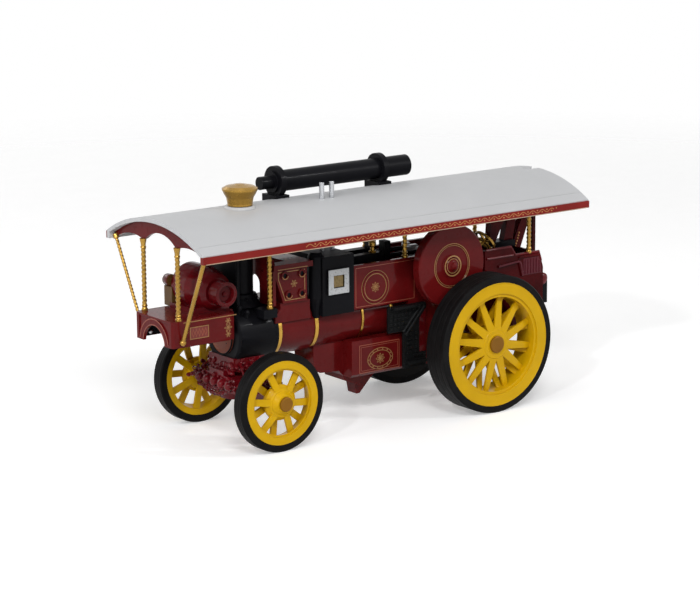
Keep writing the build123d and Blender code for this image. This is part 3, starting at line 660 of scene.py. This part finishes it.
def motion_oiler():
    """A small turned brass oiler on the motion, between the casing and the flywheel."""
    profile = [(0, 0.75), (0.3, 0.8), (0.5, 0.45), (1.1, 0.4), (1.4, 0.7), (2.0, 0.75), (2.4, 0.4),
               (2.9, 0.3), (3.1, 0.05)]
    oiler = Shape()
    oiler.lathe(profile, (-2.65, 2.4, 32.8), UP, 14)
    oiler.place("motion_oiler", "brass")


def crane_details():
    """Round ends on the winding drum and a row of gilt spots up the strut."""
    drum_radius = 1.2
    x, z = corners("crane_drum")[0].x + drum_radius, 22.0
    profile = [(-0.85, 1.1), (-0.8, 1.26), (0.0, 1.26), (0.25, 1.0), (0.4, 0.6), (0.45, 0.05)]
    ends = Shape()
    spots = Shape()
    for side in (-1, 1):
        ends.lathe(profile, (x, 3.8 * side, z), LEFT * side, 20)
        for k in range(7):
            spots.dome((-40.95 - 0.19 * k, 0.8 * side, 28.5 + 0.55 * k), LEFT * side, 0.24, 0.16, 6)
    ends.place("crane_drum_ends", "crimson")
    spots.place("crane_spots", "gilt")


def dark_board():
    """A black board that stands between the dynamo and the chimney, with a bead inside its edge."""
    front, rear, middle_z = 30.65, 30.05, 31.8
    outline = [(3.5, 25.2), (3.5, 37.9), (3.0, 38.4), (-5.5, 38.4), (-6.0, 37.9), (-6.0, 27.6), (-3.4, 25.2)]
    edge = [(y * 0.94 - 0.07, middle_z + (z - middle_z) * 0.95) for y, z in outline]
    board = Shape()
    board.slab([(rear, y, z) for y, z in outline], FORWARD, 0, front - rear)
    board.ribbon([(front, y, z) for y, z in edge], FORWARD, 0.2, 0.06, closed=True)
    board.place("dark_board", "black_paint", smooth=False)


def plate_crest():
    """The cylinder's front plate carried up behind the chimney, with rounded shoulders."""
    high = corners("cylinder_block")[1]
    thick = 0.7
    outline = [(-5.6, -0.1), (-5.2, 0.9), (-4.0, 1.5), (4.4, 1.5), (5.6, 0.9), (6.2, -0.1)]
    crest = Shape()
    crest.slab([(high.x - thick, y, high.z + rise) for y, rise in outline], FORWARD, 0, thick)
    crest.place("plate_crest", "maroon_paint", smooth=False)


def platform_inside():
    """Black inner walls behind the arch, with the round ends of the stays' bolts."""
    outline = [(34.8, 21.3), (34.8, 25.6), (45.3, 25.6), (45.3, 21.3)]
    dark = Shape()
    bolts = Shape()
    for side in (-1, 1):
        face = 6.0 * side
        dark.slab([(x, face, z) for x, z in outline], LEFT * -side, sunk, 0.08)
        bolts.dome((44.4, face - 0.06 * side, 22.0), LEFT * -side, 0.5, 0.45, 12)
    dark.place("platform_inside", "black_paint", smooth=False)
    bolts.place("platform_bolts", "steel")


def painted_shade_pulley_bore():
    """A darker red hollow and a shaft end in the dynamo's pulley: painted shade in the recess."""
    low, high = corners("dynamo_pulley")
    centre = ((low.x + high.x) / 2, high.y, (low.z + high.z) / 2)
    bore_shade = Shape()
    bore_shade.lathe([(-0.85, 1.46), (-0.74, 1.46), (-0.74, 0.5), (-0.45, 0.42), (-0.4, 0.05)], centre, LEFT, 28)
    bore_shade.place("dynamo_pulley_bore_painted_shade", "dark_red")


def valve_cover():
    """A pale speckled square with a gilt panel sunk in it, framed by a fine dark line."""
    face, recess, line = 7.8, 7.5, 0.14
    x0, x1, z0, z1 = 7.2, 12.1, 27.0, 31.9
    a0, a1, c0, c1 = 8.3, 10.9, 28.2, 30.7
    pale = Shape()
    for p, q, r, s in ((x0, x1, z0, c0), (x0, x1, c1, z1), (x0, a0, c0, c1), (a1, x1, c0, c1)):
        pale.slab([(p, face, r), (p, face, s), (q, face, s), (q, face, r)], LEFT, sunk, 0.05)
    pale.place("valve_cover_square", "pale_square", smooth=False)
    panel = [(a0 + line, c0 + line), (a0 + line, c1 - line), (a1 - line, c1 - line), (a1 - line, c0 + line)]
    gilt = Shape()
    gilt.slab([(x, recess, z) for x, z in panel], LEFT, sunk, 0.08)
    gilt.place("valve_cover_panel", "gold_square", smooth=False)


# Small fittings on the front carriage


def chain(shape, path, radius, wire):
    """Links along a path, every other one turned."""
    step = 0.62
    path = [Vector(p) for p in path]
    count = int(sum((b - a).length for a, b in zip(path, path[1:])) / step)
    spans = len(path) - 1
    for i in range(count):
        at = spans * i / count
        here, part = int(at), at - int(at)
        centre = path[here].lerp(path[here + 1], part)
        along = (path[here + 1] - path[here]).normalized()
        side = along.cross(Vector((0.3, 1, 0.2))).normalized()
        if i % 2:
            side = along.cross(side)
        link = [centre + along * radius * 1.25 * math.cos(t) + side * radius * 0.75 * math.sin(t)
                for t in turns(8)]
        shape.sweep(link, wire, 5, closed=True)


def spring_clamps():
    """Bolted clamps, shackles and lugs over the front springs."""
    inner, outer, foot, top = 6.3, 8.5, 10.2, 13.4
    lumps = Shape()
    for side in (-1, 1):
        for x in (26.4, 30.6):
            hoop = ((inner, foot), (inner, top), (outer, top), (outer, foot))
            lumps.sweep([(x, y * side, z) for y, z in hoop], 0.2, 6)
            for y in (inner, outer):
                lumps.dome((x, y * side, top + 0.1), UP, 0.42, 0.4, 6)
        for k in range(7):
            spot = (33.4 - 0.05 * k, (2.0 + 1.35 * k) * side, 11.4 + 0.55 * math.sin(1.9 * k))
            lumps.dome(spot, (1, 0.2 * side, 0.15), 0.48, 0.62, 8)
        for k in range(5):
            spot = (24.6 + 1.7 * k, 7.9 * side, 14.2 + 0.35 * math.cos(2.3 * k))
            lumps.dome(spot, (0, side, 0.2), 0.42, 0.5, 8)
    for k in range(5):
        lumps.dome((34.3, 2.5 * (k - 2), 11.7), (1, 0, 0.1), 0.85, 0.55)
    lumps.place("spring_clamps", "crimson")


def carriage_lumps():
    """Moulded nuts, rods and chain ends crowded over the saddle's faces and the carriage's front."""
    saddle_half, spring_face, member_front, saddle_front = 4.2, 8.7, 33.4, 32.2
    lumps = Shape()

    def crowd(count, out, *limits):
        """Lumps at chance places between limits along X, Y and Z; a plain number is a fixed place."""
        for _ in range(count):
            lean = Vector([chance.uniform(-0.5, 0.5) for _ in range(3)])
            spot = [chance.uniform(*limit) if isinstance(limit, tuple) else limit for limit in limits]
            lumps.dome(spot, Vector(out) + lean, chance.uniform(0.25, 0.55), chance.uniform(0.3, 0.7), 7)

    crowd(60, FORWARD, member_front, (-6.2, 6.2), (10.4, 13.0))
    crowd(45, FORWARD, saddle_front, (-4.1, 4.1), (13.3, 15.6))
    for side in (-1, 1):
        crowd(28, LEFT * side, (25.6, 31.8), saddle_half * side, (14.1, 16.2))
        crowd(28, LEFT * side, (24.5, 32.6), spring_face * side, (11.2, 12.8))
        crowd(20, UP, (24.8, 32.6), (6.2 * side, 8.6 * side), 12.9)
        for k in range(3):
            x = 25.6 + 2.6 * k
            rod = [(x, 4.3 * side, 15.6), (x + 0.6, 6.4 * side, 13.8), (x + 0.9, 8.9 * side, 11.4)]
            lumps.sweep(rod, 0.2, 6)
    lumps.place("carriage_lumps", "crimson")


def hanging_chain():
    """Two falls of chain moulded in relief across the front of the carriage."""
    half_width, rise = 6.5, 2.6
    links = Shape()
    for lowest, x in ((9.4, 34.0), (10.4, 34.1)):
        parts = [(k - 6) / 6 for k in range(13)]
        fall = [(x, half_width * part, lowest + rise * part**2) for part in parts]
        chain(links, fall, radius=0.45, wire=0.15)
    links.place("hanging_chain", "crimson")


# Small fittings on the boiler, dynamo and footplate


def chimney_base_fittings():
    """Bolts on the chimney's foot and small fittings on the smokebox beside it."""
    low, high = corners("chimney")
    centre = Vector(((low.x + high.x) / 2, 0, 27.6))
    parts = Shape()
    for turn in turns(12, shift=0.5):
        out = Vector((math.cos(turn), math.sin(turn), 0))
        parts.dome(centre + out * 3.05, out + UP * 0.8, 0.24, 0.25, 6)
    for foot, tall in (((30.6, 3.6, 25.2), 1.9), ((29.3, 4.4, 24.6), 1.5), ((24.2, 4.3, 25.0), 1.6)):
        profile = [(-0.4, 0.42), (0, 0.42), (tall * 0.5, 0.3), (tall * 0.55, 0.5), (tall * 0.8, 0.5),
                   (tall, 0.22)]
        parts.lathe(profile, foot, (0, 0.45, 1), 12)
    parts.place("smokebox_fittings_upper", "black_paint")


def smokebox_fittings():
    """Rivets round the smokebox's ends, a ring and hinge straps on the door."""
    low, high = corners("smokebox")
    rivets = Shape()
    for x in (low.x + 0.5, high.x - 0.5):
        for turn in turns(28):
            out = Vector((0, math.cos(turn), math.sin(turn)))
            rivets.dome(Vector((x, 0, boiler_height)) + out * smokebox_radius, out, 0.14, 0.1, 6)
    rivets.place("smokebox_rivets", "black_paint")
    front = corners("smokebox_door")[1].x
    hinge_y, tip_y = -3.6, 2.4
    door = Shape()
    door.sweep(ring((front - 0.55, 0, boiler_height), 3.7, 36, "yz"), 0.16, 6, closed=True)
    for z in (19.4, 21.8):
        strap = ((hinge_y, z - 0.22), (hinge_y, z + 0.22), (tip_y, z + 0.12), (tip_y, z - 0.12))
        door.slab([(front - 0.3, y, height) for y, height in strap], FORWARD, -0.3, 0.12)
    door.place("smokebox_door_straps", "black_paint")


def dynamo_fittings():
    """A rounded bead on the dynamo pulley's rim, nuts on its bearing cover and a knob at its front."""
    x, z = 35.7, 30.3
    bead = Shape()
    bead.sweep(ring((x, corners("dynamo_pulley")[1].y - 0.02, z), 2.15, 32), 0.14, 6, closed=True)
    bead.place("dynamo_pulley_bead", "dynamo_red")
    cover_face = corners("dynamo")[0].y + 0.05
    nuts = Shape()
    for turn in turns(8):
        out = Vector((math.cos(turn), 0, math.sin(turn)))
        nuts.dome(Vector((x, cover_face, z)) + out * 3.2, -LEFT, 0.25, 0.25, 6)
    nuts.place("dynamo_nuts", "dynamo_red")
    profile = [(0.0, 1.12), (0.05, 1.2), (1.3, 1.2), (1.6, 1.0), (1.75, 0.5), (1.8, 0.05)]
    knob = Shape()
    knob.lathe(profile, (39.6, -5.65, 31.4), -LEFT, 18)
    knob.place("dynamo_knob", "dynamo_red")


def boiler_fittings():
    """Handrail knobs on both sides of the boiler."""
    turn = math.radians(24)
    knobs = Shape()
    for side in (-1, 1):
        out = Vector((0, math.cos(turn) * side, math.sin(turn)))
        for x in (4.4, 10.0, 15.0, 20.0):
            knobs.dome(Vector((x, 0, boiler_height)) + out * boiler_radius, out, 0.2, 0.3, 8)
    knobs.place("boiler_knobs", "maroon_paint")


def footplate_levers():
    """Reversing, regulator and brake levers and a gauge, on the footplate before the driver."""
    knob = [(-0.45, 0.05), (-0.3, 0.35), (0.0, 0.45), (0.3, 0.35), (0.45, 0.05)]
    feet = ((-24.6, 3.4, 29.5), (-25.2, 1.6, 29.5), (-25.6, -1.8, 29.5), (-30.2, -5.6, 29.0))
    heads = ((-26.2, 3.6, 34.2), (-25.4, 1.2, 33.4), (-27.2, -2.2, 33.8), (-30.0, -5.6, 33.6))
    levers = Shape()
    for foot, head in zip(feet, heads):
        levers.sweep([foot, head], 0.22, 7)
        levers.lathe(knob, head, Vector(head) - Vector(foot), 10)
    levers.place("footplate_levers", "maroon_paint")


# Steps and wheels


def step_relief():
    """Raised blocks, rungs, a second rod and a red side panel on the plates ahead of the rear wheels."""
    tread_reach = 1.4
    rod_foot, rod_head = (-6.7, 16.4), (-11.4, 21.7)
    lean = (rod_head[0] - rod_foot[0]) / (rod_head[1] - rod_foot[1])
    # Columns: x, z, half length, half height, thickness
    blocks = []
    for row in range(5):
        z = 18.0 + 0.88 * row
        rod_x = rod_foot[0] + (z - rod_foot[1]) * lean
        places = [-3.1 - 0.95 * column for column in range(7)]
        blocks += [(x, z, 0.3, 0.26, 0.2) for x in places if x > rod_x + 1.9]
    for row in range(5):
        z = 12.7 + 0.95 * row
        blocks += [(-7.6, z, 0.5, 0.24, 0.24), (-9.3, z, 0.16, 0.3, 0.3)]
    square = ((-1, -1), (-1, 1), (1, 1), (1, -1))
    panel_outline = [(-11.88, 12.5), (-11.88, 21.2), (-10.25, 19.4), (-10.25, 12.5)]
    for name, side in sides:
        face = (corners("step_left")[1].y - tread_reach) * side
        relief = Shape()
        for x, z, half_x, half_z, thick in blocks:
            outline = [(x + i * half_x, face, z + j * half_z) for i, j in square]
            relief.slab(outline, LEFT * side, sunk, thick)
        for ends in ((rod_foot, rod_head), ((-8.6, 11.95), (-11.6, 12.05))):
            relief.sweep([(x, face + 0.1 * side, z) for x, z in ends], 0.26)
        relief.place("step_relief_" + name, "black_tread", smooth=False)
        panel = Shape()
        panel.slab([(x, face, z) for x, z in panel_outline], LEFT * side, sunk, 0.07)
        panel.place("step_panel_" + name, "dark_red", smooth=False)


def wheel_backs():
    """A black band round the inner face of each rear wheel's rim."""
    for name, side in sides:
        low, high = corners("rear_tyre_" + name)
        inner = min(abs(low.y), abs(high.y)) * side
        centre = ((low.x + high.x) / 2, inner, (low.z + high.z) / 2)
        band = Shape()
        band.ribbon(ring(centre, 11.25, 64), LEFT * side, 2.7, 0.06, closed=True)
        band.place("rear_wheel_" + name + "_back", "tyre_black", "rear_wheelset", smooth=False)


def wheel_details(axle, side_name, side, cap, hub):
    """A hub that flares towards the spokes, and a fine bead where the rim meets the tyre."""
    name = axle + "_wheel_" + side_name
    wheel_low, wheel_high = corners(name)
    low, high = corners(axle + "_tyre_" + side_name)
    x, z = (wheel_low.x + wheel_high.x) / 2, (low.z + high.z) / 2
    rim_radius = (high.z - low.z) / 2 - tyre_depth
    face = max(abs(low.y), abs(high.y))
    trim = Shape()
    trim.sweep(ring((x, (face - 0.06) * side, z), rim_radius, 56), 0.13, 6, closed=True)
    trim.place(name + "_bead", "wheel_yellow", axle + "_wheelset")
    cap_face = corners(axle + "_hub_caps")[1].y
    profile = [(0.0, cap), (0.02, cap + 0.25), (-0.2, cap + 0.45), (-0.8, cap + 0.8), (-1.4, hub - 0.5),
               (-1.8, hub), (-2.4, hub), (-2.8, hub - 0.7)]
    cone = Shape()
    cone.lathe(profile, (x, (cap_face - 0.45) * side, z), LEFT * side, 40)
    cone.place(name + "_hub", "wheel_yellow", axle + "_wheelset")


roof_creases()
fascia_ornament()
fascia_ends()
for row in ("posts_platform", "posts_smokebox", "posts_hornplate", "posts_tender"):
    canopy_posts(row)
belly_tank_ornament()
hornplate_lining()
chest_lining()
platform_ornament()
flywheel_lining()
tender_mouldings()
motion_oiler()
crane_details()
dark_board()
plate_crest()
platform_inside()
painted_shade_pulley_bore()
valve_cover()
far_stay()
spring_clamps()
carriage_lumps()
chimney_base_fittings()
hanging_chain()
smokebox_fittings()
dynamo_fittings()
boiler_fittings()
footplate_levers()
step_relief()
wheel_backs()
for side_name, side in sides:
    wheel_details("front", side_name, side, cap=1.45, hub=3.5)
    wheel_details("rear", side_name, side, cap=1.75, hub=3.6)

# Camera at the photograph's view


def aim(thing, place, target, roll=0.0):
    """Stands a camera or a lamp at a place and points it at a target, in metres."""
    direction = (Vector(target) - Vector(place)).normalized()
    turn = direction.to_track_quat("-Z", "Y").to_matrix().to_4x4()
    thing.matrix_world = Matrix.Translation(place) @ turn @ Matrix.Rotation(roll, 4, "Z")


camera_place = Vector((302.379, 405.689, 135.300)) * MM
camera_target = Vector((1.191, 0.0, 23.242)) * MM
camera_roll = -0.0061
focal_pixels = 2597.2
image_width = 700
camera_data = bpy.data.cameras.new("camera")
camera_data.sensor_fit = "HORIZONTAL"
camera_data.sensor_width = 36.0
camera_data.lens = focal_pixels / image_width * camera_data.sensor_width
camera_data.clip_start = 0.01
camera_data.clip_end = 20.0
camera = bpy.data.objects.new("camera", camera_data)
bpy.context.scene.collection.objects.link(camera)
aim(camera, camera_place, camera_target, camera_roll)
bpy.context.scene.camera = camera

# Soft lamps, white surroundings and a pale floor, in metres

lamp_target = (0, 0, 0.02)
# Columns: name, place, width and depth, power in watts
lamps = (
    ("key", (0.30, 0.50, 0.50), (0.18, 0.18), 2.15),
    ("front", (0.60, 0.10, 0.22), (0.16, 0.12), 0.9),
    ("fill", (-0.45, 0.45, 0.25), (0.20, 0.16), 0.35),
    ("top", (0.0, 0.0, 0.7), (0.4, 0.4), 0.4),
    ("back", (0.1, -0.6, 0.35), (0.4, 0.3), 0.8),
    ("glint_left", (0.50, 0.32, 0.38), (0.03, 0.03), 1.0),
    ("glint_right", (-0.42, 0.52, 0.40), (0.05, 0.05), 1.1),
)
for name, place, size, power in lamps:
    lamp_data = bpy.data.lights.new(name, "AREA")
    lamp_data.shape = "RECTANGLE"
    lamp_data.size, lamp_data.size_y = size
    lamp_data.energy = power
    lamp = bpy.data.objects.new(name, lamp_data)
    bpy.context.scene.collection.objects.link(lamp)
    aim(lamp, place, lamp_target)


def shown_as(tree, lit, seen):
    """The seen value for camera, glossy and transmission rays, the lit value for what lights the object."""
    path = tree.nodes.new("ShaderNodeLightPath")
    shown = path.outputs["Is Camera Ray"]
    for ray in ("Is Glossy Ray", "Is Transmission Ray"):
        either = tree.nodes.new("ShaderNodeMath")
        either.operation = "MAXIMUM"
        tree.links.new(path.outputs[ray], either.inputs[0])
        tree.links.new(shown, either.inputs[1])
        shown = either.outputs["Value"]
    span = tree.nodes.new("ShaderNodeMapRange")
    span.inputs["To Min"].default_value = lit
    span.inputs["To Max"].default_value = seen
    tree.links.new(shown, span.inputs["Value"])
    return span.outputs["Result"]


def fade_to_background(material, start, end):
    """The surface thins out to nothing between two distances from the origin."""
    tree = material.node_tree
    place = tree.nodes.new("ShaderNodeTexCoord")
    away = tree.nodes.new("ShaderNodeVectorMath")
    away.operation = "LENGTH"
    thin = tree.nodes.new("ShaderNodeMapRange")
    thin.inputs["From Min"].default_value = start
    thin.inputs["From Max"].default_value = end
    clear = tree.nodes.new("ShaderNodeBsdfTransparent")
    mix = tree.nodes.new("ShaderNodeMixShader")
    tree.links.new(place.outputs["Object"], away.inputs[0])
    tree.links.new(away.outputs["Value"], thin.inputs["Value"])
    tree.links.new(thin.outputs["Result"], mix.inputs["Fac"])
    tree.links.new(tree.nodes["Principled BSDF"].outputs["BSDF"], mix.inputs[1])
    tree.links.new(clear.outputs["BSDF"], mix.inputs[2])
    tree.links.new(mix.outputs["Shader"], tree.nodes["Material Output"].inputs["Surface"])


world = bpy.data.worlds.new("studio")
bpy.context.scene.world = world
world.use_nodes = True
tree = world.node_tree
tree.nodes.clear()
background = tree.nodes.new("ShaderNodeBackground")
background.inputs["Color"].default_value = (1, 1, 1, 1)
tree.links.new(shown_as(tree, lit=0.26, seen=1.0), background.inputs["Strength"])
output = tree.nodes.new("ShaderNodeOutputWorld")
tree.links.new(background.outputs["Background"], output.inputs["Surface"])

floor_reach, floor_drop = 0.45, 0.00002
floor_paint = coated("floor", (0.86, 0.86, 0.86), 0.6, spread=0.01, coat=0.0, edge_mm=0, specular=0.1)
floor_tree = floor_paint.node_tree
floor_shader = floor_tree.nodes["Principled BSDF"]
floor_shader.inputs["Emission Color"].default_value = (1, 1, 1, 1)
floor_tree.links.new(shown_as(floor_tree, lit=0.0, seen=0.3), floor_shader.inputs["Emission Strength"])
fade_to_background(floor_paint, 0.20, 0.42)
floor_mesh = bpy.data.meshes.new("floor")
floor_corners = [(x * floor_reach, y * floor_reach, 0) for x, y in ((-1, -1), (1, -1), (1, 1), (-1, 1))]
floor_mesh.from_pydata(floor_corners, [], [(0, 1, 2, 3)])
floor_mesh.materials.append(floor_paint)
floor = bpy.data.objects.new("floor", floor_mesh)
bpy.context.scene.collection.objects.link(floor)
floor.location.z = -floor_drop

bpy.context.scene.view_settings.view_transform = "Standard"
